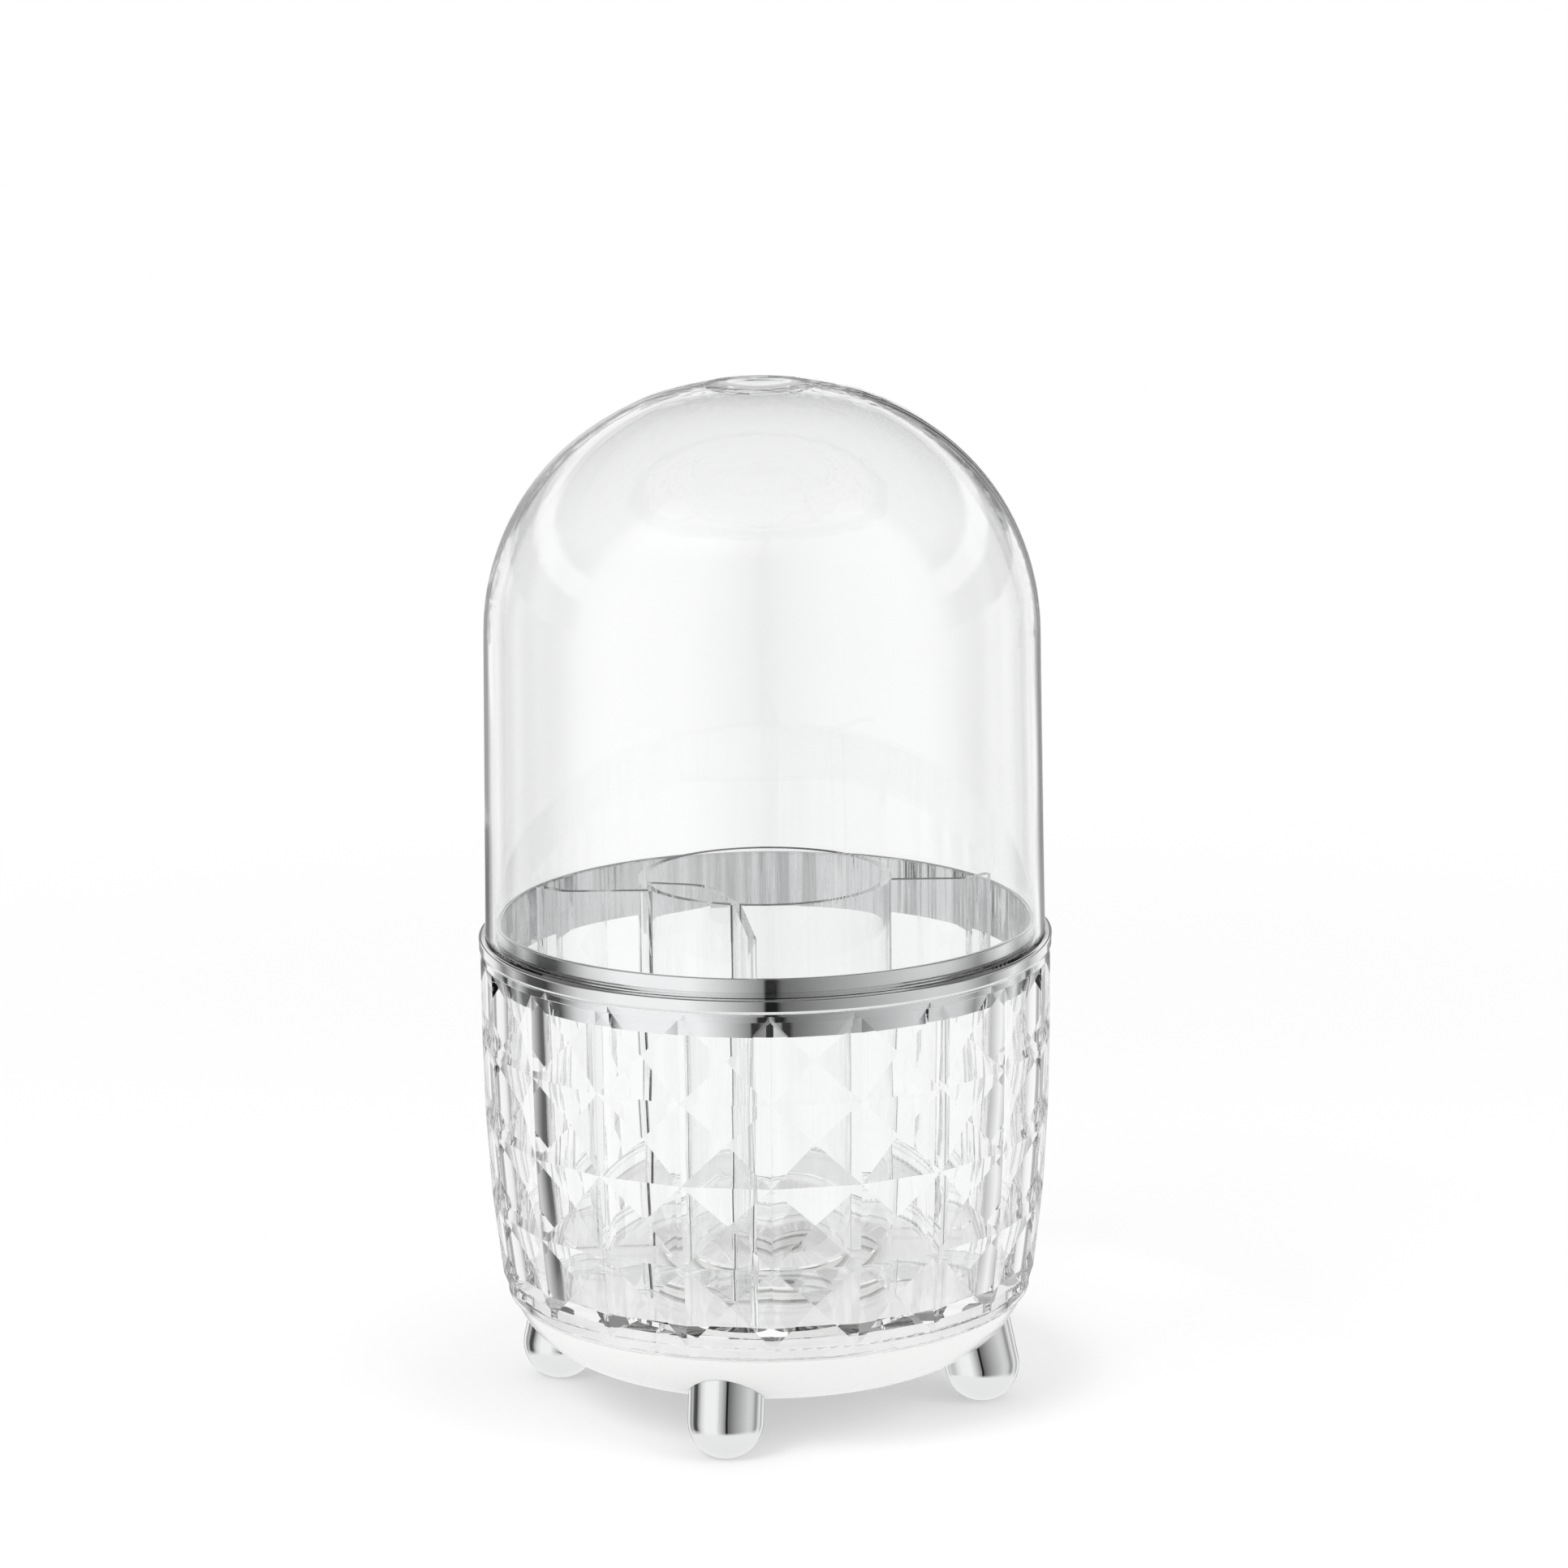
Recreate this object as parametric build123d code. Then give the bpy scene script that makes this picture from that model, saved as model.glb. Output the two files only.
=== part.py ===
from build123d import *
import os
from math import asin, atan2, cos, degrees, pi, radians, sin, sqrt, tan

# A rotating brush organiser: a clear domed lid over a cut clear cup, a bright collar
# between them, a drop-in divider, and a white dish on four bullet feet that carries
# the cup on a ball bearing. Millimetres, +Z up, origin on the floor below the axis.

# Dish and deck of the base
GROUND_CLEARANCE = 10.0
DISH_DEPTH = 13.0
DISH_RIM_SETBACK = 1.0
DISH_SIDE_RADIUS = 20.0
DISH_WALL = 2.0
DISH_FLOOR = 3.5
DECK_RECESS = 0.5
DECK_THICKNESS = 2.5
DECK_EDGE_CLEARANCE = 0.2

# Feet, splayed outwards, the first one a little to the left of the front
FOOT_NAMES = ("foot_front", "foot_right", "foot_back", "foot_left")
FOOT_DIAMETER = 16.0
FOOT_FLAT_DIAMETER = 6.0
FOOT_SETBACK = 8.6
FOOT_SPLAY = 12.0
FOOT_TURN = 11.6
FOOT_SEAT_GAP = 0.05

# Screws that hold the feet, and screws that hold the deck from below
SCREW_DIAMETER = 3.0
SCREW_HOLE_CLEARANCE = 0.2
SCREW_HEAD_DIAMETER = 5.6
SCREW_HEAD_HEIGHT = 1.6
SCREW_DRIVE_LENGTH = 3.4
SCREW_DRIVE_WIDTH = 0.7
SCREW_DRIVE_DEPTH = 0.8
FOOT_BOSS_DIAMETER = 9.0
FOOT_BOSS_RISE = 2.0
FOOT_SCREW_GRIP = 6.0
DECK_SCREW_COUNT = 3
DECK_SCREW_CIRCLE_RADIUS = 29.0
DECK_SCREW_TURN = 30.0
DECK_BOSS_DIAMETER = 8.0
DECK_SCREW_GRIP = 5.0
DECK_SCREW_SINK = 1.8

# Ball bearing between deck and cup
BALL_COUNT = 12
BALL_DIAMETER = 4.0
BALL_CLEARANCE = 0.05
BALL_CIRCLE_RADIUS = 19.0
RACE_WIDTH = 7.0
RACE_THICKNESS = 1.4
RACE_SEAT = 0.6
RACE_GROOVE_DEPTH = 0.35
RACE_EDGE_CLEARANCE = 0.05
CAGE_WIDTH = 5.4
CAGE_THICKNESS = 1.6

# Pivot in the middle of the bearing
PIN_DIAMETER = 6.0
PIN_CLEARANCE = 0.05
PIN_COVER = 1.4
PIN_TAIL = 1.5
BUSH_WALL = 1.6
BUSH_FLANGE_DIAMETER = 14.0
BUSH_FLANGE_THICKNESS = 0.8
BUSH_TAIL = 2.0
WASHER_DIAMETER = 12.0
WASHER_THICKNESS = 0.6
CLIP_DIAMETER = 10.0
CLIP_THICKNESS = 0.7
CLIP_GROOVE_DEPTH = 0.5
CLIP_MOUTH = 4.0
RUN_GAP = 0.05

# Cup with its cut pattern: rows of square cells, each a shallow hollow pyramid
SPIN_GAP = 0.5
CUP_BAND_HEIGHT = 2.8
CUP_BAND_SETBACK = 1.0
CUP_LIP_HEIGHT = 1.7
CUP_LIP_SETBACK = 0.1
CUP_DRAW_IN = 3.6
CUP_WALL = 3.4
CUP_FLOOR = 3.0
CUP_SKIRT_WALL = 3.5
CUP_HUB_DIAMETER = 12.0
CUP_EDGE_ROUND = 0.6
CELL_COLUMNS = 20
CELL_ROWS = 4
CELL_HEIGHT = 17.7
CELL_SINK = 2.4
CELL_TURN = 0.7

# Collar ring
COLLAR_DIAMETER = 122.0
COLLAR_LEDGE_WIDTH = 3.85
COLLAR_BAND_WALL = 1.15
COLLAR_SKIRT_WALL = 1.2
COLLAR_FLANGE_HEIGHT = 3.0
COLLAR_BAND_HEIGHT = 3.8
COLLAR_SKIRT_DEPTH = 5.4
COLLAR_FIT_CLEARANCE = 0.1
COLLAR_FLANGE_ROUND = 0.7
COLLAR_RIM_ROUND = 0.4

# Divider: a tube with a curved wall through it and a wall to each side
DIVIDER_HEIGHT = 82.8
DIVIDER_TUBE_DIAMETER = 53.8
DIVIDER_WALL = 1.6
DIVIDER_SIDE_CLEARANCE = 0.6
DIVIDER_SEAT_GAP = 0.2
LEFT_WALL_OFFSET = 12.0
RIGHT_WALL_OFFSET = 4.3
SIDE_WALL_REACH = 42.0
SIDE_WALL_TAIL = (5.5, 4.5)
SIDE_WALL_BEND_RADIUS = 5.0
CURVED_WALL_START_OFFSET = 5.0
CURVED_WALL_BEND = (-12.5, -8.0)
CURVED_WALL_CROSSING_X = -5.7
CURVED_WALL_END_X = -2.5
CURVED_WALL_BEND_RADIUS = 8.0
CURVED_WALL_SWEEP_RADIUS = 24.0

# Domed lid
LID_CREST_HEIGHT = 117.1
LID_SIDE_CLEARANCE = 0.45
LID_DRAFT = 0.8
LID_WALL = 2.0
LID_CROWN_RADIUS = 5.6
LID_SEAT_GAP = 0.1
LID_EDGE_CHAMFER = 0.4
DIMPLE_EDGE_RADIUS = 12.0
DIMPLE_EDGE_ROUND = 20.0
DIMPLE_SLOPE = 9.0

# Heights of the stack, from the floor up
DISH_BOTTOM = GROUND_CLEARANCE
DISH_FLOOR_TOP = DISH_BOTTOM + DISH_FLOOR
DISH_TOP = DISH_BOTTOM + DISH_DEPTH
DECK_TOP = DISH_TOP - DECK_RECESS
DECK_BOTTOM = DECK_TOP - DECK_THICKNESS
BALL_RADIUS = BALL_DIAMETER / 2
LOWER_RACE_BOTTOM = DECK_TOP - RACE_SEAT
LOWER_RACE_TOP = LOWER_RACE_BOTTOM + RACE_THICKNESS
BALL_HEIGHT = LOWER_RACE_TOP - RACE_GROOVE_DEPTH + BALL_CLEARANCE + BALL_RADIUS
UPPER_RACE_BOTTOM = 2 * BALL_HEIGHT - LOWER_RACE_TOP
UPPER_RACE_TOP = UPPER_RACE_BOTTOM + RACE_THICKNESS
CUP_FLOOR_BOTTOM = UPPER_RACE_TOP - RACE_SEAT
CUP_FLOOR_TOP = CUP_FLOOR_BOTTOM + CUP_FLOOR
CUP_BOTTOM = DISH_TOP + SPIN_GAP
PATTERN_BOTTOM = CUP_BOTTOM + CUP_BAND_HEIGHT
PATTERN_HEIGHT = CELL_ROWS * CELL_HEIGHT
PATTERN_TOP = PATTERN_BOTTOM + PATTERN_HEIGHT
CUP_TOP = PATTERN_TOP + CUP_LIP_HEIGHT
COLLAR_LEDGE = CUP_TOP + COLLAR_FLANGE_HEIGHT
COLLAR_RIM = COLLAR_LEDGE + COLLAR_BAND_HEIGHT
COLLAR_BOTTOM = CUP_TOP - COLLAR_SKIRT_DEPTH
DIVIDER_BOTTOM = CUP_FLOOR_TOP + DIVIDER_SEAT_GAP
DIVIDER_TOP = DIVIDER_BOTTOM + DIVIDER_HEIGHT
LID_BOTTOM = COLLAR_LEDGE + LID_SEAT_GAP
LID_TOP = LID_BOTTOM + LID_CREST_HEIGHT

# Radii shared by pieces that meet
PIN_RADIUS = PIN_DIAMETER / 2
SCREW_RADIUS = SCREW_DIAMETER / 2
FOOT_RADIUS = FOOT_DIAMETER / 2
BALL_FOOT_HEIGHT = sqrt(FOOT_RADIUS ** 2 - (FOOT_FLAT_DIAMETER / 2) ** 2)
RACE_INNER = BALL_CIRCLE_RADIUS - RACE_WIDTH / 2
RACE_OUTER = BALL_CIRCLE_RADIUS + RACE_WIDTH / 2
COLLAR_RADIUS = COLLAR_DIAMETER / 2
COLLAR_BAND_RADIUS = COLLAR_RADIUS - COLLAR_LEDGE_WIDTH
COLLAR_BORE_RADIUS = COLLAR_BAND_RADIUS - COLLAR_BAND_WALL
COLLAR_SKIRT_RADIUS = COLLAR_BORE_RADIUS + COLLAR_SKIRT_WALL
CUP_MOUTH_RADIUS = COLLAR_SKIRT_RADIUS + COLLAR_FIT_CLEARANCE
CUP_TOP_RADIUS = CUP_MOUTH_RADIUS + CUP_WALL
CUP_BAND_RADIUS = CUP_TOP_RADIUS - CUP_DRAW_IN - CUP_BAND_SETBACK
DISH_RIM_RADIUS = CUP_BAND_RADIUS - DISH_RIM_SETBACK
FOOT_CIRCLE_RADIUS = DISH_RIM_RADIUS - FOOT_SETBACK
LID_FOOT_RADIUS = COLLAR_BAND_RADIUS + LID_SIDE_CLEARANCE + LID_WALL
DIVIDER_RADIUS = COLLAR_BORE_RADIUS - DIVIDER_SIDE_CLEARANCE
DIVIDER_TUBE_RADIUS = DIVIDER_TUBE_DIAMETER / 2
DISH_FLAT_RADIUS = DISH_RIM_RADIUS - sqrt(2 * DISH_SIDE_RADIUS * DISH_DEPTH - DISH_DEPTH ** 2)
DISH_ARC_HEIGHT = DISH_BOTTOM + DISH_SIDE_RADIUS
CELL_HALF_ANGLE = pi / CELL_COLUMNS
BUSH_RADIUS = PIN_RADIUS + PIN_CLEARANCE + BUSH_WALL

STANDING = (Align.CENTER, Align.CENTER, Align.MIN)
HANGING = (Align.CENTER, Align.CENTER, Align.MAX)


def disc(radius, low, high):
    """Upright cylinder about the vertical axis between two heights."""
    return Pos(0, 0, low) * Cylinder(radius, high - low, align=STANDING)


def ring(inner, outer, low, high):
    """Upright ring about the vertical axis between two heights."""
    return disc(outer, low, high) - disc(inner, low, high)


def turned(*edges):
    """Solid of revolution of a closed outline drawn as radius and height."""
    return revolve(Plane.XZ * make_face(edges), Axis.Z)


def dish_arc_radius(height, wall=0.0):
    """Radius of the dish's rounded side at a height, at some depth under its outside."""
    rise = DISH_ARC_HEIGHT - height
    return DISH_FLAT_RADIUS + sqrt((DISH_SIDE_RADIUS - wall) ** 2 - rise ** 2)


def dish_outside(grow=0.0):
    """Full body inside the dish's outer surface, grown by a seating gap."""
    low = DISH_BOTTOM - grow
    side = DISH_SIDE_RADIUS + grow
    end_angle = -degrees(atan2(DISH_ARC_HEIGHT - DISH_TOP, DISH_RIM_RADIUS - DISH_FLAT_RADIUS))
    arc = CenterArc((DISH_FLAT_RADIUS, DISH_ARC_HEIGHT), side, -90, 90 + end_angle)
    rim = arc @ 1
    outline = Polyline(rim, (0, rim.Y), (0, low), (DISH_FLAT_RADIUS, low))
    return turned(arc, outline)


def foot_place(index):
    """Frame of a foot: its origin in the rounded end's middle, its Z along the foot towards the dish."""
    azimuth = -90 - FOOT_TURN + index * 360 / len(FOOT_NAMES)
    return Rot(0, 0, azimuth) * Pos(FOOT_CIRCLE_RADIUS, 0, BALL_FOOT_HEIGHT) * Rot(0, -FOOT_SPLAY, 0)


def foot_reach(depth):
    """Distance along a foot's axis from its origin to a depth under the dish's outer surface."""
    splay = radians(FOOT_SPLAY)
    out = FOOT_CIRCLE_RADIUS - DISH_FLAT_RADIUS
    down = DISH_ARC_HEIGHT - BALL_FOOT_HEIGHT
    along = out * sin(splay) + down * cos(splay)
    across = out * cos(splay) - down * sin(splay)
    return along - sqrt((DISH_SIDE_RADIUS - depth) ** 2 - across ** 2)


FOOT_SCREW_SEAT = foot_reach(DISH_WALL) + FOOT_BOSS_RISE
FOOT_SCREW_END = foot_reach(0) - FOOT_SCREW_GRIP


def make_screw(length):
    """Pan-head screw standing on its head's underside, shank downwards, with a cross recess."""
    shank = Cylinder(SCREW_RADIUS, length, align=HANGING)
    head = Cylinder(SCREW_HEAD_DIAMETER / 2, SCREW_HEAD_HEIGHT, align=STANDING)
    recess = Box(SCREW_DRIVE_LENGTH, SCREW_DRIVE_WIDTH, SCREW_HEAD_HEIGHT, align=STANDING)
    recess += Box(SCREW_DRIVE_WIDTH, SCREW_DRIVE_LENGTH, SCREW_HEAD_HEIGHT, align=STANDING)
    return shank + head - Pos(0, 0, SCREW_HEAD_HEIGHT - SCREW_DRIVE_DEPTH) * recess


def deck_screw_places():
    """Frames of the deck's screws, heads down in the dish's floor."""
    height = DISH_BOTTOM + DECK_SCREW_SINK
    for turn in range(DECK_SCREW_COUNT):
        spot = Rot(0, 0, DECK_SCREW_TURN + turn * 360 / DECK_SCREW_COUNT)
        yield spot * Pos(DECK_SCREW_CIRCLE_RADIUS, 0, height) * Rot(180, 0, 0)


DECK_SCREW_LENGTH = DISH_FLOOR - DECK_SCREW_SINK + DECK_SCREW_GRIP


def make_base_dish():
    """Round-sided dish with bosses for the feet and sunk holes for the deck's screws."""
    inner_side = DISH_SIDE_RADIUS - DISH_WALL
    start = -degrees(atan2(DISH_ARC_HEIGHT - DISH_FLOOR_TOP,
                           dish_arc_radius(DISH_FLOOR_TOP, DISH_WALL) - DISH_FLAT_RADIUS))
    end = -degrees(atan2(DISH_ARC_HEIGHT - DISH_TOP,
                         dish_arc_radius(DISH_TOP, DISH_WALL) - DISH_FLAT_RADIUS))
    arc = CenterArc((DISH_FLAT_RADIUS, DISH_ARC_HEIGHT), inner_side, start, end - start)
    hollow = turned(arc, Polyline(arc @ 1, (0, DISH_TOP), (0, DISH_FLOOR_TOP), arc @ 0))
    body = dish_outside()
    dish = body - hollow
    boss = Cylinder(FOOT_BOSS_DIAMETER / 2, FOOT_SCREW_SEAT, align=STANDING)
    hole = Cylinder(SCREW_RADIUS + SCREW_HOLE_CLEARANCE, 2 * FOOT_SCREW_SEAT, align=STANDING)
    for index in range(len(FOOT_NAMES)):
        dish += (foot_place(index) * boss) & body
    for index in range(len(FOOT_NAMES)):
        dish -= foot_place(index) * hole
    sunk = Cylinder(SCREW_HEAD_DIAMETER / 2 + SCREW_HOLE_CLEARANCE, DECK_SCREW_SINK, align=STANDING)
    through = Cylinder(SCREW_RADIUS + SCREW_HOLE_CLEARANCE, 4 * DISH_FLOOR)
    for place in deck_screw_places():
        dish -= place * (sunk + through)
    return dish


def race_seat(low, high):
    """Round channel that a race sits in."""
    return ring(RACE_INNER - RACE_EDGE_CLEARANCE, RACE_OUTER + RACE_EDGE_CLEARANCE, low, high)


def make_base_deck():
    """Round plate that closes the dish and seats the lower race, with bosses down to the dish's floor."""
    radius = dish_arc_radius(DECK_BOTTOM, DISH_WALL) - DECK_EDGE_CLEARANCE
    deck = disc(radius, DECK_BOTTOM, DECK_TOP)
    for place in deck_screw_places():
        spot = Pos(place.position.X, place.position.Y, DISH_FLOOR_TOP)
        deck += spot * Cylinder(DECK_BOSS_DIAMETER / 2, DECK_BOTTOM - DISH_FLOOR_TOP, align=STANDING)
    for place in deck_screw_places():
        deck -= place * Cylinder(SCREW_RADIUS, DECK_SCREW_LENGTH, align=HANGING)
    deck -= race_seat(LOWER_RACE_BOTTOM, DECK_TOP)
    return deck - disc(BUSH_RADIUS, DECK_BOTTOM, DECK_TOP)


def make_foot(index):
    """Bullet foot, rounded below with a small flat to stand on, trimmed to the dish above."""
    shaft_length = foot_reach(0) + FOOT_DIAMETER
    foot = Sphere(FOOT_RADIUS) + Cylinder(FOOT_RADIUS, shaft_length, align=STANDING)
    pilot = Pos(0, 0, FOOT_SCREW_END) * Cylinder(SCREW_RADIUS, shaft_length, align=STANDING)
    foot = foot_place(index) * (foot - pilot)
    foot -= disc(2 * FOOT_CIRCLE_RADIUS, -FOOT_DIAMETER, 0)
    foot -= dish_outside(FOOT_SEAT_GAP)
    foot -= disc(2 * FOOT_CIRCLE_RADIUS, DISH_TOP, DISH_TOP + shaft_length)
    return foot.solids().sort_by(Axis.Z)[0]


def make_foot_screws():
    """One screw along each foot's axis, its head on the boss inside the dish."""
    screw = make_screw(FOOT_SCREW_SEAT - FOOT_SCREW_END)
    return Compound([foot_place(i) * Pos(0, 0, FOOT_SCREW_SEAT) * screw for i in range(len(FOOT_NAMES))])


def make_deck_screws():
    """Screws through the dish's floor into the deck's bosses."""
    screw = make_screw(DECK_SCREW_LENGTH)
    return Compound([place * screw for place in deck_screw_places()])


def ball_track():
    """Rounded track that the balls run in, with their running clearance."""
    return Pos(0, 0, BALL_HEIGHT) * Torus(BALL_CIRCLE_RADIUS, BALL_RADIUS + BALL_CLEARANCE)


def ball_places():
    """Centres of the bearing balls."""
    for turn in range(BALL_COUNT):
        yield Rot(0, 0, turn * 360 / BALL_COUNT) * Pos(BALL_CIRCLE_RADIUS, 0, BALL_HEIGHT)


def make_ball_cage():
    """Flat ring with one pocket for each ball."""
    half = CAGE_WIDTH / 2
    low = BALL_HEIGHT - CAGE_THICKNESS / 2
    cage = ring(BALL_CIRCLE_RADIUS - half, BALL_CIRCLE_RADIUS + half, low, low + CAGE_THICKNESS)
    for place in ball_places():
        cage -= place * Cylinder(BALL_RADIUS + BALL_CLEARANCE, 2 * CAGE_THICKNESS)
    return cage


BUSH_TOP = DECK_TOP + BUSH_FLANGE_THICKNESS
BUSH_BOTTOM = DECK_BOTTOM - BUSH_TAIL
HUB_WASHER_BOTTOM = BUSH_TOP + RUN_GAP
HUB_BOTTOM = HUB_WASHER_BOTTOM + WASHER_THICKNESS
TAIL_WASHER_BOTTOM = BUSH_BOTTOM - RUN_GAP - WASHER_THICKNESS
CLIP_BOTTOM = TAIL_WASHER_BOTTOM - RUN_GAP - CLIP_THICKNESS
PIN_BOTTOM = CLIP_BOTTOM - PIN_TAIL
PIN_TOP = CUP_FLOOR_TOP - PIN_COVER
CLIP_GROOVE_RADIUS = PIN_RADIUS - CLIP_GROOVE_DEPTH


def make_pivot_bush():
    """Flanged bush in the deck that the pin turns in."""
    bore = PIN_RADIUS + PIN_CLEARANCE
    sleeve = ring(bore, BUSH_RADIUS, BUSH_BOTTOM, BUSH_TOP)
    return sleeve + ring(bore, BUSH_FLANGE_DIAMETER / 2, DECK_TOP, BUSH_TOP)


def make_washer(low):
    """Flat washer on the pin."""
    return ring(PIN_RADIUS + PIN_CLEARANCE, WASHER_DIAMETER / 2, low, low + WASHER_THICKNESS)


def make_pivot_pin():
    """Pin set in the cup's hub, with a groove near its lower end for the clip."""
    groove_top = CLIP_BOTTOM + CLIP_THICKNESS + RUN_GAP
    groove = ring(CLIP_GROOVE_RADIUS, PIN_DIAMETER, CLIP_BOTTOM - RUN_GAP, groove_top)
    return disc(PIN_RADIUS, PIN_BOTTOM, PIN_TOP) - groove


def make_retaining_clip():
    """Open clip in the pin's groove that keeps the cup on the base."""
    clip = ring(CLIP_GROOVE_RADIUS + RUN_GAP, CLIP_DIAMETER / 2, CLIP_BOTTOM, CLIP_BOTTOM + CLIP_THICKNESS)
    mouth = Box(CLIP_DIAMETER, CLIP_MOUTH, CLIP_THICKNESS, align=(Align.MIN, Align.CENTER, Align.MIN))
    return clip - Pos(0, 0, CLIP_BOTTOM) * mouth


def cup_radius(height):
    """Radius of the corners between cells at a height: upright above, drawn in towards the bottom."""
    share = (PATTERN_TOP - height) / PATTERN_HEIGHT
    return CUP_TOP_RADIUS - CUP_DRAW_IN * share ** 3


def cell_faces(row):
    """Four sides of the hollow pyramid that faces -Y in a row."""
    low = PATTERN_BOTTOM + row * CELL_HEIGHT
    high = low + CELL_HEIGHT
    middle = (low + high) / 2
    pit = (0, CELL_SINK - cup_radius(middle), middle)
    corners = []
    for height, sides in ((low, (-1, 1)), (high, (1, -1))):
        radius = cup_radius(height)
        for side in sides:
            corners.append((side * radius * sin(CELL_HALF_ANGLE), -radius * cos(CELL_HALF_ANGLE), height))
    return [Face(Polyline(corners[i - 1], corners[i], pit, close=True)) for i in range(4)]


def cut_body():
    """Closed body with hollow pyramids all round, in rows and columns."""
    faces = []
    for row in range(CELL_ROWS):
        for face in cell_faces(row):
            for column in range(CELL_COLUMNS):
                faces.append(Rot(0, 0, CELL_TURN + (column + 0.5) * 360 / CELL_COLUMNS) * face)
    for height in (PATTERN_BOTTOM, PATTERN_TOP):
        outline = RegularPolygon(cup_radius(height), CELL_COLUMNS, rotation=90 + CELL_TURN)
        faces.append(Pos(0, 0, height) * outline.face())
    return Solid(Shell(faces))


def make_cup():
    """Clear cup: cut cells outside, smooth bore inside, a raised floor and a hub for the pivot."""
    band = disc(CUP_BAND_RADIUS, CUP_BOTTOM, PATTERN_BOTTOM)
    band = fillet(band.edges().filter_by(GeomType.CIRCLE), CUP_EDGE_ROUND)
    cup = cut_body() + band + disc(CUP_TOP_RADIUS - CUP_LIP_SETBACK, PATTERN_TOP, CUP_TOP)
    middle = (CUP_FLOOR_TOP + PATTERN_TOP) / 2
    wall = ThreePointArc((cup_radius(CUP_FLOOR_TOP) - CUP_WALL, CUP_FLOOR_TOP),
                         (cup_radius(middle) - CUP_WALL, middle), (CUP_MOUTH_RADIUS, PATTERN_TOP))
    inside = Polyline(wall @ 1, (CUP_MOUTH_RADIUS, CUP_TOP), (0, CUP_TOP), (0, CUP_FLOOR_TOP), wall @ 0)
    bore = turned(wall, inside)
    skirt = disc(CUP_BAND_RADIUS - CUP_SKIRT_WALL, CUP_BOTTOM, CUP_FLOOR_BOTTOM)
    skirt -= disc(CUP_HUB_DIAMETER / 2, HUB_BOTTOM, CUP_FLOOR_BOTTOM)
    cup -= bore + skirt + race_seat(CUP_FLOOR_BOTTOM, UPPER_RACE_TOP)
    return cup - disc(PIN_RADIUS, HUB_BOTTOM, PIN_TOP)


def make_collar_ring():
    """Bright ring on the cup's mouth: a skirt in the cup, a wide flange and a band inside the lid."""
    collar = disc(COLLAR_RADIUS, CUP_TOP, COLLAR_LEDGE)
    collar = fillet(collar.edges().filter_by(GeomType.CIRCLE), COLLAR_FLANGE_ROUND)
    collar += disc(COLLAR_BAND_RADIUS, COLLAR_LEDGE, COLLAR_RIM)
    collar += disc(COLLAR_SKIRT_RADIUS, COLLAR_BOTTOM, CUP_TOP)
    collar -= disc(COLLAR_BORE_RADIUS, COLLAR_BOTTOM, COLLAR_RIM)
    rims = collar.edges().filter_by(GeomType.CIRCLE).group_by(Axis.Z)[-1]
    return fillet(rims, COLLAR_RIM_ROUND)


def tube_chord(offset):
    """Half the chord of the tube's wall, along its middle, at an offset from the axis."""
    return sqrt((DIVIDER_TUBE_RADIUS - DIVIDER_WALL / 2) ** 2 - offset ** 2)


def side_wall(offset, side):
    """Plan of a divider wall from the tube to one side, in front of the axis, its end bent back."""
    start = (side * tube_chord(offset), -offset)
    bend = (side * SIDE_WALL_REACH, -offset)
    tail = (side * (SIDE_WALL_REACH + SIDE_WALL_TAIL[0]), SIDE_WALL_TAIL[1] - offset)
    return trace(FilletPolyline(start, bend, tail, radius=SIDE_WALL_BEND_RADIUS), DIVIDER_WALL)


def make_divider():
    """Tube with a curved wall through it and a wall to each side, trimmed to the cup's bore."""
    plan = Circle(DIVIDER_TUBE_RADIUS) - Circle(DIVIDER_TUBE_RADIUS - DIVIDER_WALL)
    start = (-tube_chord(CURVED_WALL_START_OFFSET), -CURVED_WALL_START_OFFSET)
    crossing = (CURVED_WALL_CROSSING_X, -tube_chord(CURVED_WALL_CROSSING_X))
    end = (CURVED_WALL_END_X, -COLLAR_BORE_RADIUS)
    corners = (start, CURVED_WALL_BEND, crossing, end)
    curve = FilletPolyline(*corners, radius=[CURVED_WALL_BEND_RADIUS, CURVED_WALL_SWEEP_RADIUS])
    plan += trace(curve, DIVIDER_WALL)
    plan += side_wall(LEFT_WALL_OFFSET, -1) + side_wall(RIGHT_WALL_OFFSET, 1)
    foot_radius = cup_radius(CUP_FLOOR_TOP) - CUP_WALL - DIVIDER_SIDE_CLEARANCE
    lower = [(0, DIVIDER_BOTTOM), (foot_radius, DIVIDER_BOTTOM), (DIVIDER_RADIUS, COLLAR_BOTTOM)]
    upper = [(DIVIDER_RADIUS, DIVIDER_TOP), (0, DIVIDER_TOP)]
    room = turned(Polyline(*lower, *upper, close=True))
    return extrude(Pos(0, 0, DIVIDER_BOTTOM) * plan, DIVIDER_HEIGHT) & room


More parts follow.
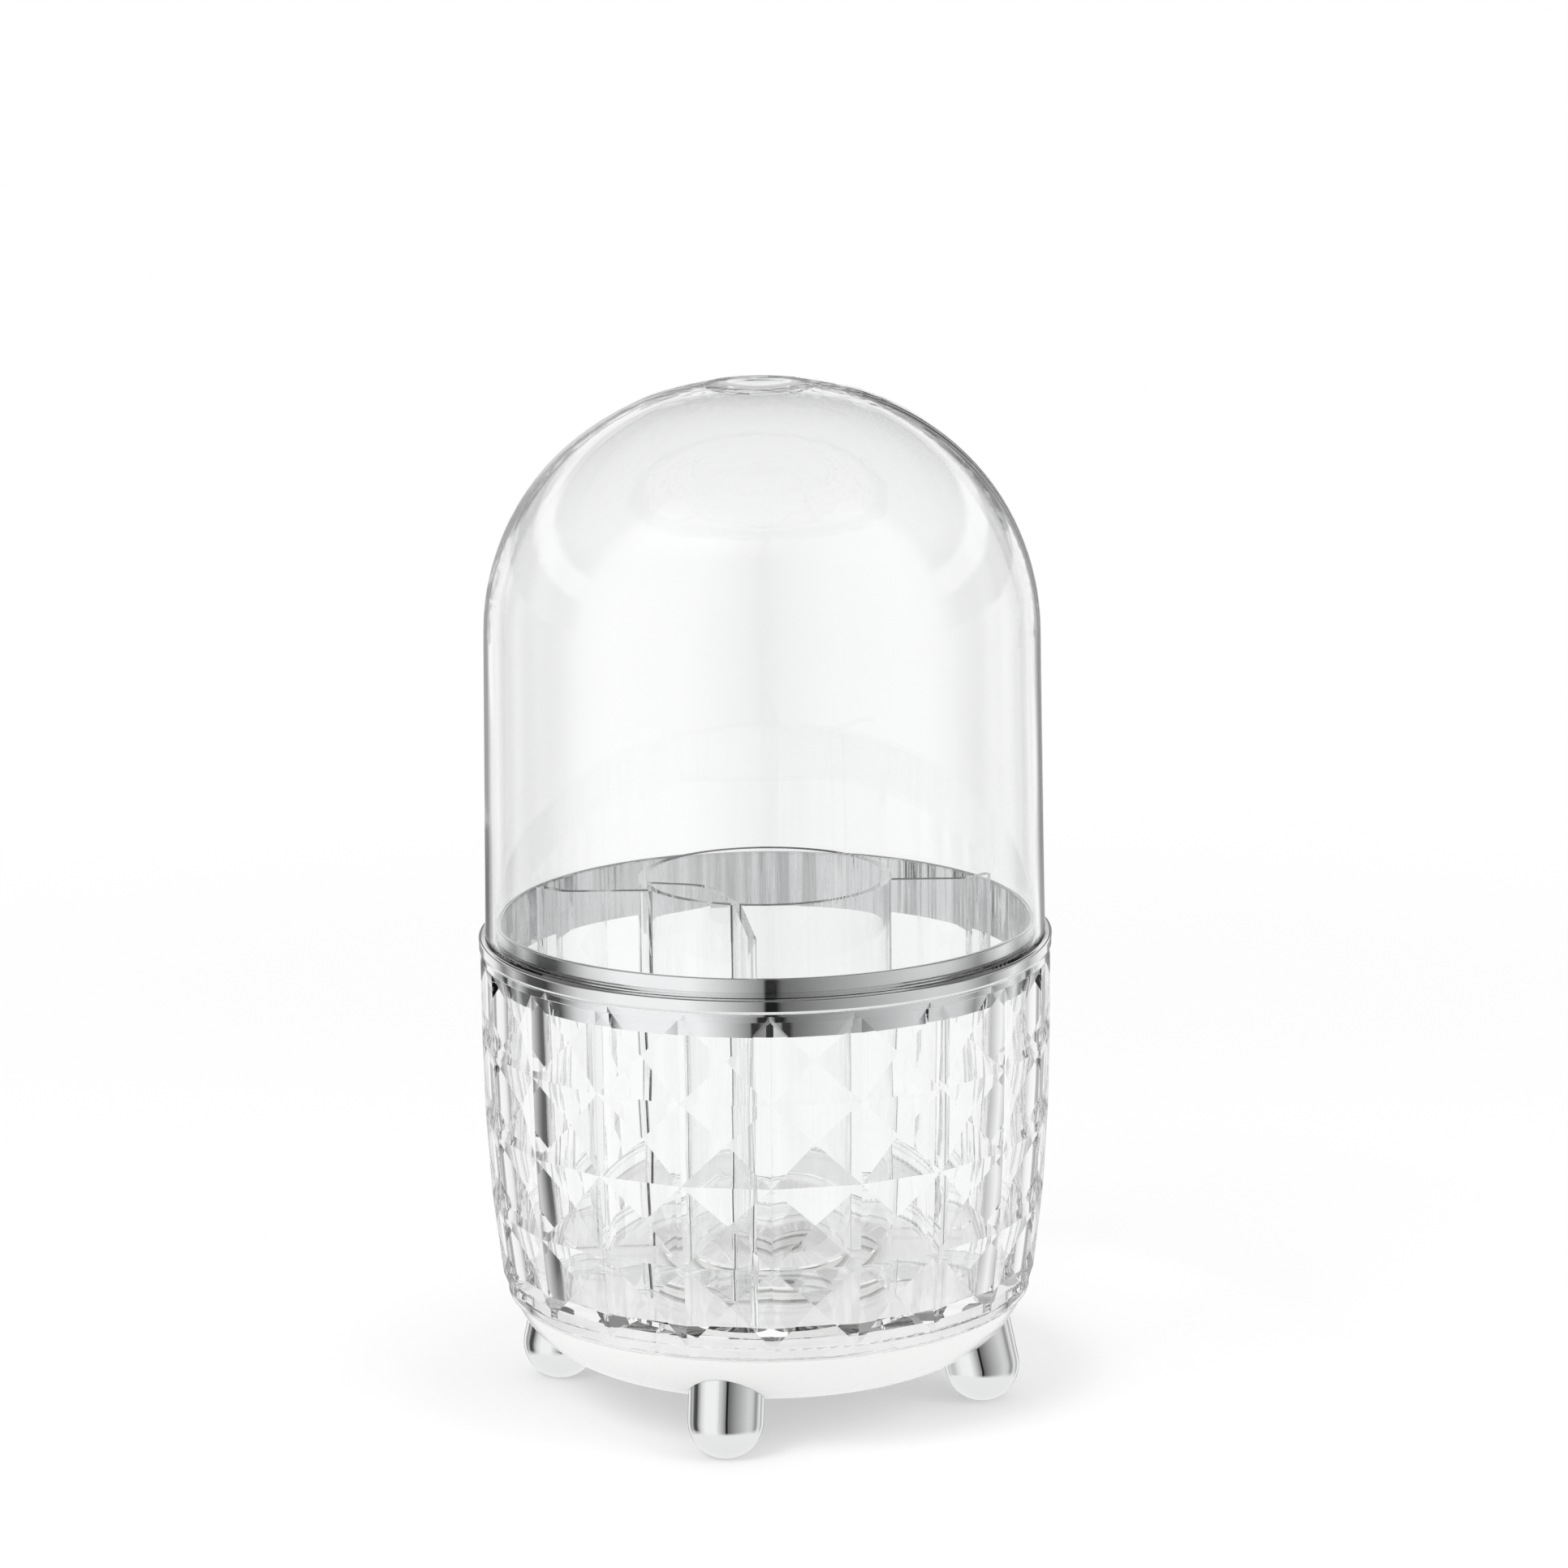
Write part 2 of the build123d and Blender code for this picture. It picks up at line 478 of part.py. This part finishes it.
def lid_body(inset):
    """Full body inside the lid's outer surface, or inside its inner one at the wall's thickness."""
    draft = radians(LID_DRAFT)
    wall_end = LID_TOP - LID_FOOT_RADIUS
    # The shoulder leaves the drafted wall smoothly and runs into the dimple's rounded edge.
    for _ in range(8):
        wall_radius = LID_FOOT_RADIUS - (wall_end - LID_BOTTOM) * tan(draft)
        shoulder = (wall_radius - LID_CROWN_RADIUS) / cos(draft)
        lean = asin((DIMPLE_EDGE_RADIUS - LID_CROWN_RADIUS) / shoulder)
        shoulder_height = LID_TOP - DIMPLE_EDGE_ROUND * (1 - cos(lean)) - shoulder * cos(lean)
        wall_end = shoulder_height + shoulder * sin(draft)
    crest_radius = DIMPLE_EDGE_RADIUS - DIMPLE_EDGE_ROUND * sin(lean)
    crest_height = LID_TOP - DIMPLE_EDGE_ROUND
    reach = crest_radius / sin(radians(DIMPLE_SLOPE))
    bowl_height = crest_height + reach * cos(radians(DIMPLE_SLOPE))
    top_angle = 90 - degrees(lean)
    side = CenterArc((LID_CROWN_RADIUS, shoulder_height), shoulder - inset, LID_DRAFT,
                     top_angle - LID_DRAFT)
    crest = CenterArc((crest_radius, crest_height), DIMPLE_EDGE_ROUND - inset, top_angle,
                      90 - top_angle + DIMPLE_SLOPE)
    bowl = CenterArc((0, bowl_height), reach - DIMPLE_EDGE_ROUND + inset, DIMPLE_SLOPE - 90, -DIMPLE_SLOPE)
    foot = (LID_FOOT_RADIUS - inset / cos(draft), LID_BOTTOM)
    return turned(side, crest, bowl, Polyline(bowl @ 1, (0, LID_BOTTOM), foot, side @ 0))


def make_dome_lid():
    """Clear lid: drafted wall, round shoulder and a shallow dimple on top."""
    lid = lid_body(0.0) - lid_body(LID_WALL)
    rims = lid.edges().filter_by(GeomType.CIRCLE).group_by(Axis.Z)[0]
    return chamfer(rims, LID_EDGE_CHAMFER)


def make_all():
    """Every piece of the organiser by its node's name."""
    pieces = {"base_dish": make_base_dish(), "base_deck": make_base_deck()}
    for index, name in enumerate(FOOT_NAMES):
        pieces[name] = make_foot(index)
    pieces["foot_screws"] = make_foot_screws()
    pieces["deck_screws"] = make_deck_screws()
    pieces["lower_race"] = ring(RACE_INNER, RACE_OUTER, LOWER_RACE_BOTTOM, LOWER_RACE_TOP) - ball_track()
    pieces["upper_race"] = ring(RACE_INNER, RACE_OUTER, UPPER_RACE_BOTTOM, UPPER_RACE_TOP) - ball_track()
    pieces["ball_cage"] = make_ball_cage()
    pieces["bearing_balls"] = Compound([place * Sphere(BALL_RADIUS) for place in ball_places()])
    pieces["pivot_bush"] = make_pivot_bush()
    pieces["hub_washer"] = make_washer(HUB_WASHER_BOTTOM)
    pieces["tail_washer"] = make_washer(TAIL_WASHER_BOTTOM)
    pieces["pivot_pin"] = make_pivot_pin()
    pieces["retaining_clip"] = make_retaining_clip()
    pieces["cup"] = make_cup()
    pieces["collar_ring"] = make_collar_ring()
    pieces["divider"] = make_divider()
    pieces["dome_lid"] = make_dome_lid()
    return pieces


os.makedirs("parts", exist_ok=True)
for node, shape in make_all().items():
    export_step(shape, f"parts/{node}.step")
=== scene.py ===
"""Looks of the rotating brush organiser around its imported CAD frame. Metres, +Z up, the viewer at -Y."""
import math

import bpy
from mathutils import Matrix, Vector

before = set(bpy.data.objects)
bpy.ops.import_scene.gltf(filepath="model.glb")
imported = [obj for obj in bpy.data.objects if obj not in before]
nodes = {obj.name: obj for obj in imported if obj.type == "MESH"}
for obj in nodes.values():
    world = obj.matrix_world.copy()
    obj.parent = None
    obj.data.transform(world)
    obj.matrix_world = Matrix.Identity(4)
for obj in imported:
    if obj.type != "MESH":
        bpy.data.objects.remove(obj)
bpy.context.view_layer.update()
scene = bpy.context.scene

# Camera, fitted to the photograph
CAMERA_DISTANCE = 1.2339
CAMERA_HEIGHT = 0.4102
CAMERA_PITCH = 0.2208
CAMERA_YAW = 0.0035
CAMERA_ROLL = -0.0101
CAMERA_LENS = 137.1
CAMERA_SENSOR = 36.0

# Clear plastics: how much they bend light, and their colour
LID_INDEX = 1.59
CUP_INDEX = 1.49
CLEAR_TINT = (0.996, 0.999, 0.999, 1.0)
CUP_TINT = (0.996, 0.998, 0.999, 1.0)

# Plating, outside and in the ring's bore
PLATING_TONE = (0.86, 0.865, 0.87, 1.0)
BORE_TONE = (0.72, 0.725, 0.73, 1.0)
# Radius times the normal's outward part: about -0.056 in the bore, 0 on the ring's flat faces
BORE_LIMIT = -0.03

# Light
WHITE_LIGHT = (1.0, 1.0, 1.0, 1.0)
WORLD_DIFFUSE = 0.75
LAMP_TARGET = (0.0, 0.0, 0.1)
LAMP_SIZE = 0.8
KEY_PLACE = (-0.9, -0.9, 1.3)
KEY_POWER = 9.0
FILL_PLACE = (1.1, -0.6, 0.9)
FILL_POWER = 4.0
LIGHT_BOUNCES = 40
SEE_THROUGH_BOUNCES = 16

# Floor: lit near the object, plain white further out
FLOOR_SIZE = 6.0
FLOOR_TONE = (0.8, 0.8, 0.8, 1.0)
FLOOR_GLOW = 0.2
FLOOR_LIT_RADIUS = 0.2
FLOOR_WHITE_RADIUS = 0.6

# Brightness of the studio by azimuth in degrees from the camera, to the right positive
STUDIO_BANDS = (
    (-180, 1.0), (-172, 1.0), (-169, 0.35), (-158, 0.35), (-154, 1.0), (-140, 0.9),
    (-130, 0.25), (-121, 0.6), (-110, 0.1), (-98, 0.06), (-80, 0.75), (-64, 1.0),
    (-32, 1.0), (-18, 0.7), (-1, 0.25), (0, 0.015), (5, 0.015), (6, 0.14),
    (30, 0.38), (70, 0.72), (84, 0.68), (100, 0.3), (118, 0.9), (130, 0.45),
    (142, 0.9), (154, 1.0), (158, 0.35), (169, 0.35), (172, 1.0), (180, 1.0))
# Share of those bands by height, from straight down at 0 to straight up at 1: all round the
# object, and on the viewer's side, where it ends towards the back
BAND_SHARE = [(0.0, 0.0), (0.24, 0.0), (0.31, 1.0), (0.52, 1.0), (0.53, 0.0), (1.0, 0.0)]
FRONT_SHARE = [(0.0, 0.0), (0.5, 0.0), (0.52, 1.0), (0.9, 1.0), (0.97, 0.0), (1.0, 0.0)]
FRONT_EDGE = [(0.0, 1.0), (0.42, 1.0), (0.5, 0.0), (1.0, 0.0)]
# Brightness by height where the bands don't show
PLAIN_TONE = [(0.0, 0.9), (0.51, 0.95), (0.53, 0.25), (0.612, 0.25), (0.627, 0.9), (0.68, 0.9),
              (0.7, 0.15), (1.0, 0.15)]
# Light that has gone through this many surfaces meets a softer studio
DEEP_SURFACES = 4.5
DEEP_SOFTENING = 0.5


def new_material(name):
    """An empty node material and its tree."""
    material = bpy.data.materials.new(name)
    material.use_nodes = True
    material.node_tree.nodes.clear()
    return material, material.node_tree


def add(tree, kind, inputs=None, **settings):
    """A node with its settings, constant inputs and links; an input may be a socket."""
    node = tree.nodes.new(kind)
    for key, value in settings.items():
        setattr(node, key, value)
    for key, value in (inputs or {}).items():
        if isinstance(value, bpy.types.NodeSocket):
            tree.links.new(value, node.inputs[key])
        else:
            node.inputs[key].default_value = value
    return node


def math_node(tree, operation, first, second=0.0):
    """Result socket of a two-value maths node."""
    return add(tree, "ShaderNodeMath", {0: first, 1: second}, operation=operation).outputs[0]


def mix_colours(tree, share, first, second):
    """Colour between two colours. Sockets 6 and 7 are the mix node's colours, output 2 its result."""
    return add(tree, "ShaderNodeMix", {0: share, 6: first, 7: second}, data_type="RGBA").outputs[2]


def mix_shaders(tree, share, first, second):
    """Shader node between two shader nodes."""
    inputs = {0: share, 1: first.outputs[0], 2: second.outputs[0]}
    return add(tree, "ShaderNodeMixShader", inputs)


def ramp(tree, value, stops):
    """Grey ramp over a value: stops are (position, brightness)."""
    node = add(tree, "ShaderNodeValToRGB", {0: value})
    elements = node.color_ramp.elements
    while len(elements) < len(stops):
        elements.new(1.0)
    for element, (position, tone) in zip(elements, stops):
        element.position = position
        element.color = (tone, tone, tone, 1.0)
    return node.outputs["Color"]


def noise(tree, scale, detail, stretch=(1.0, 1.0, 1.0)):
    """Noise in the piece's own coordinates."""
    place = add(tree, "ShaderNodeTexCoord").outputs["Object"]
    mapped = add(tree, "ShaderNodeMapping", {"Vector": place, "Scale": stretch})
    inputs = {"Vector": mapped.outputs["Vector"], "Scale": scale, "Detail": detail}
    return add(tree, "ShaderNodeTexNoise", inputs).outputs["Fac"]


def spread(tree, value, low, high):
    """A noise value, mostly between 0.3 and 0.7, mapped to a range."""
    inputs = {"Value": value, "From Min": 0.3, "From Max": 0.7, "To Min": low, "To Max": high}
    return add(tree, "ShaderNodeMapRange", inputs).outputs["Result"]


def bump(tree, height, strength, distance, base=None):
    """Normal from a height, on top of another normal where one is given."""
    inputs = {"Height": height, "Strength": strength, "Distance": distance}
    if base is not None:
        inputs["Normal"] = base
    return add(tree, "ShaderNodeBump", inputs).outputs["Normal"]


def mottle(tree, share, tone, darkest):
    """Colour that varies between a tone and a darker share of it."""
    low = tuple(darkest * value for value in tone) + (1.0,)
    return mix_colours(tree, share, low, tone + (1.0,))


def finish_material(tree, shader):
    """Joins a shader to the material's output."""
    add(tree, "ShaderNodeOutputMaterial", {"Surface": shader.outputs[0]})


def clear_plastic(name, tint, index, gloss, wave_scale, wave_height):
    """Moulded clear plastic: slow waves from moulding and faint scuffing in the gloss."""
    material, tree = new_material(name)
    waves = noise(tree, wave_scale, 1.0)
    scuffs = noise(tree, 900.0, 4.0)
    shader = add(tree, "ShaderNodeBsdfPrincipled", {
        "Base Color": tint, "Transmission Weight": 1.0, "IOR": index,
        "Specular Tint": (gloss, gloss, gloss, 1.0), "Roughness": spread(tree, scuffs, 0.0, 0.02),
        "Normal": bump(tree, waves, 0.4, wave_height)})
    finish_material(tree, shader)
    return material


def faces_axis(tree):
    """1 where the surface faces the spin axis, 0 elsewhere."""
    place = add(tree, "ShaderNodeTexCoord").outputs
    across = add(tree, "ShaderNodeVectorMath", {0: place["Object"], 1: (1.0, 1.0, 0.0)},
                 operation="MULTIPLY").outputs[0]
    outward = add(tree, "ShaderNodeVectorMath", {0: across, 1: place["Normal"]},
                  operation="DOT_PRODUCT").outputs["Value"]
    return math_node(tree, "LESS_THAN", outward, BORE_LIMIT)


def bright_plating(name, rough_bore=False):
    """Bright plating: nearly a mirror, with slight ripple and soft patches in the polish.

    A ring's bore is less well polished, duller and with upright ripples.
    """
    material, tree = new_material(name)
    patches = noise(tree, 260.0, 4.0)
    tone = PLATING_TONE
    normal = bump(tree, noise(tree, 55.0, 1.0), 0.15, 0.0004)
    if rough_bore:
        bore = faces_axis(tree)
        upright = noise(tree, 150.0, 1.5, (1.0, 1.0, 0.03))
        normal = bump(tree, math_node(tree, "MULTIPLY", upright, bore), 1.0, 0.003, normal)
        tone = mix_colours(tree, bore, PLATING_TONE, BORE_TONE)
    shader = add(tree, "ShaderNodeBsdfPrincipled", {
        "Base Color": tone, "Metallic": 1.0, "Roughness": spread(tree, patches, 0.02, 0.05),
        "Normal": normal})
    finish_material(tree, shader)
    return material


def gloss_white(name, tone):
    """Glossy white moulding: a faint orange peel and slight changes of gloss."""
    material, tree = new_material(name)
    peel = noise(tree, 420.0, 2.0)
    patches = noise(tree, 70.0, 3.0)
    shader = add(tree, "ShaderNodeBsdfPrincipled", {
        "Base Color": mottle(tree, patches, tone, 0.97), "IOR": 1.5,
        "Roughness": spread(tree, patches, 0.12, 0.2), "Coat Weight": 0.3, "Coat Roughness": 0.06,
        "Normal": bump(tree, peel, 0.06, 0.0004)})
    finish_material(tree, shader)
    return material


def machined_steel(name, tone, low, high):
    """Pressed or turned steel: fine tool marks across the spin axis and patches of tone."""
    material, tree = new_material(name)
    marks = noise(tree, 800.0, 5.0, (1.0, 1.0, 6.0))
    patches = noise(tree, 120.0, 3.0)
    shader = add(tree, "ShaderNodeBsdfPrincipled", {
        "Base Color": mottle(tree, patches, tone, 0.85), "Metallic": 1.0,
        "Roughness": spread(tree, marks, low, high), "Normal": bump(tree, marks, 0.12, 0.0002)})
    finish_material(tree, shader)
    return material


def plain_moulding(name, tone):
    """Matt natural plastic of the bearing's inner pieces."""
    material, tree = new_material(name)
    grain = noise(tree, 700.0, 3.0)
    shader = add(tree, "ShaderNodeBsdfPrincipled", {
        "Base Color": mottle(tree, grain, tone, 0.93),
        "Roughness": spread(tree, grain, 0.4, 0.55), "Normal": bump(tree, grain, 0.1, 0.0002)})
    finish_material(tree, shader)
    return material


def dress(material, *names):
    """Gives CAD nodes a material."""
    for name in names:
        slots = nodes[name].data.materials
        slots.clear()
        slots.append(material)


def dress_pieces():
    """Gives every piece its material, and lets light through the clear ones to what is inside."""
    dress(clear_plastic("lid_clear_plastic", CLEAR_TINT, LID_INDEX, 1.0, 14.0, 0.002), "dome_lid")
    dress(clear_plastic("cup_clear_plastic", CUP_TINT, CUP_INDEX, 0.4, 40.0, 0.0006), "cup")
    dress(clear_plastic("divider_clear_plastic", CLEAR_TINT, CUP_INDEX, 0.8, 22.0, 0.001), "divider")
    dress(bright_plating("ring_plating", rough_bore=True), "collar_ring")
    dress(bright_plating("bright_plating"), "foot_front", "foot_right", "foot_back", "foot_left")
    dress(gloss_white("gloss_white", (0.9, 0.9, 0.895)), "base_dish")
    dress(gloss_white("deck_white", (0.88, 0.88, 0.875)), "base_deck")
    dress(gloss_white("race_white", (0.88, 0.88, 0.87)), "lower_race", "upper_race")
    dress(machined_steel("ball_steel", (0.75, 0.75, 0.76), 0.05, 0.1), "bearing_balls")
    dress(machined_steel("fixing_steel", (0.58, 0.58, 0.59), 0.25, 0.4),
          "foot_screws", "deck_screws", "pivot_pin", "retaining_clip")
    dress(plain_moulding("natural_plastic", (0.86, 0.86, 0.84)),
          "ball_cage", "pivot_bush", "hub_washer", "tail_washer")
    for name in ("dome_lid", "cup", "divider"):
        nodes[name].visible_shadow = False
        nodes[name].visible_diffuse = False


def make_floor():
    """Plain pale floor that turns plain white away from the object.

    Light that has met a bright surface passes through it to the studio around.
    """
    mesh = bpy.data.meshes.new("floor")
    corners = [(x * FLOOR_SIZE, y * FLOOR_SIZE, 0) for x, y in ((-1, -1), (1, -1), (1, 1), (-1, 1))]
    mesh.from_pydata(corners, [], [(0, 1, 2, 3)])
    floor = bpy.data.objects.new("floor", mesh)
    scene.collection.objects.link(floor)
    material, tree = new_material("floor_white")
    path = add(tree, "ShaderNodeLightPath").outputs
    matt = add(tree, "ShaderNodeBsdfDiffuse", {"Color": FLOOR_TONE})
    glow = add(tree, "ShaderNodeEmission", {"Color": WHITE_LIGHT, "Strength": FLOOR_GLOW})
    lit = add(tree, "ShaderNodeAddShader", {0: matt.outputs[0], 1: glow.outputs[0]})
    white = add(tree, "ShaderNodeEmission", {"Color": WHITE_LIGHT, "Strength": 1.0})
    place = add(tree, "ShaderNodeTexCoord").outputs["Object"]
    away = add(tree, "ShaderNodeVectorMath", {0: place}, operation="LENGTH").outputs["Value"]
    far = add(tree, "ShaderNodeMapRange",
              {"Value": away, "From Min": FLOOR_LIT_RADIUS, "From Max": FLOOR_WHITE_RADIUS},
              interpolation_type="SMOOTHSTEP").outputs["Result"]
    looked_at = math_node(tree, "MAXIMUM", path["Is Camera Ray"], path["Is Transmission Ray"])
    plain = mix_shaders(tree, math_node(tree, "MULTIPLY", far, looked_at), lit, white)
    mirrored = math_node(tree, "GREATER_THAN", path["Glossy Depth"], 0.5)
    clear = add(tree, "ShaderNodeBsdfTransparent")
    finish_material(tree, mix_shaders(tree, mirrored, plain, clear))
    mesh.materials.append(material)


def studio_tone(tree, path):
    """Colour of the studio in a direction: upright soft boxes with dark gaps between them."""
    direction = add(tree, "ShaderNodeTexCoord").outputs["Generated"]
    parts = add(tree, "ShaderNodeSeparateXYZ", {0: direction}).outputs
    towards = math_node(tree, "MULTIPLY", parts["Y"], -1.0)
    azimuth = math_node(tree, "ARCTAN2", parts["X"], towards)
    turn = math_node(tree, "ADD", math_node(tree, "DIVIDE", azimuth, 2 * math.pi), 0.5)
    height = math_node(tree, "DIVIDE", math_node(tree, "ADD", parts["Z"], 1.0), 2.0)
    depth = math_node(tree, "DIVIDE", math_node(tree, "ADD", parts["Y"], 1.0), 2.0)
    front = math_node(tree, "MULTIPLY", ramp(tree, height, FRONT_SHARE), ramp(tree, depth, FRONT_EDGE))
    share = math_node(tree, "MAXIMUM", ramp(tree, height, BAND_SHARE), front)
    stops = [(0.5 + degrees / 360.0, tone) for degrees, tone in STUDIO_BANDS]
    bands = mix_colours(tree, share, ramp(tree, height, PLAIN_TONE), ramp(tree, turn, stops))
    deep = math_node(tree, "GREATER_THAN", path["Transmission Depth"], DEEP_SURFACES)
    return mix_colours(tree, math_node(tree, "MULTIPLY", deep, DEEP_SOFTENING), bands, WHITE_LIGHT)


def make_world():
    """White surroundings; what has been mirrored shows the studio instead."""
    world = bpy.data.worlds.new("studio")
    scene.world = world
    world.use_nodes = True
    tree = world.node_tree
    tree.nodes.clear()
    path = add(tree, "ShaderNodeLightPath").outputs
    plain = add(tree, "ShaderNodeBackground", {"Color": WHITE_LIGHT, "Strength": 1.0})
    studio = add(tree, "ShaderNodeBackground", {"Color": studio_tone(tree, path), "Strength": 1.0})
    fill = add(tree, "ShaderNodeBackground", {"Color": WHITE_LIGHT, "Strength": WORLD_DIFFUSE})
    mirrored = math_node(tree, "GREATER_THAN", path["Glossy Depth"], 0.5)
    scattered = math_node(tree, "GREATER_THAN", path["Diffuse Depth"], 0.5)
    mixed = mix_shaders(tree, scattered, mix_shaders(tree, mirrored, plain, studio), fill)
    add(tree, "ShaderNodeOutputWorld", {"Surface": mixed.outputs[0]})


def make_lamp(name, place, power):
    """Square soft lamp that faces the object."""
    light = bpy.data.lights.new(name, "AREA")
    light.size = LAMP_SIZE
    light.energy = power
    lamp = bpy.data.objects.new(name, light)
    lamp.location = place
    lamp.rotation_euler = (Vector(LAMP_TARGET) - Vector(place)).to_track_quat("-Z", "Y").to_euler()
    lamp.visible_camera = False
    lamp.visible_glossy = False
    lamp.visible_transmission = False
    scene.collection.objects.link(lamp)


def make_camera():
    """Camera in front of the object, a little above it."""
    data = bpy.data.cameras.new("camera")
    data.lens = CAMERA_LENS
    data.sensor_width = CAMERA_SENSOR
    data.sensor_fit = "HORIZONTAL"
    camera = bpy.data.objects.new("camera", data)
    scene.collection.objects.link(camera)
    turn = Matrix.Rotation(-CAMERA_YAW, 4, "Z") @ Matrix.Rotation(math.pi / 2 - CAMERA_PITCH, 4, "X")
    place = Matrix.Translation((0.0, -CAMERA_DISTANCE, CAMERA_HEIGHT))
    camera.matrix_world = place @ turn @ Matrix.Rotation(CAMERA_ROLL, 4, "Z")
    scene.camera = camera


dress_pieces()
make_floor()
make_world()
make_lamp("key", KEY_PLACE, KEY_POWER)
make_lamp("fill", FILL_PLACE, FILL_POWER)
make_camera()
scene.view_settings.view_transform = "Standard"
scene.cycles.max_bounces = LIGHT_BOUNCES
scene.cycles.transmission_bounces = LIGHT_BOUNCES
scene.cycles.glossy_bounces = LIGHT_BOUNCES
scene.cycles.transparent_max_bounces = SEE_THROUGH_BOUNCES
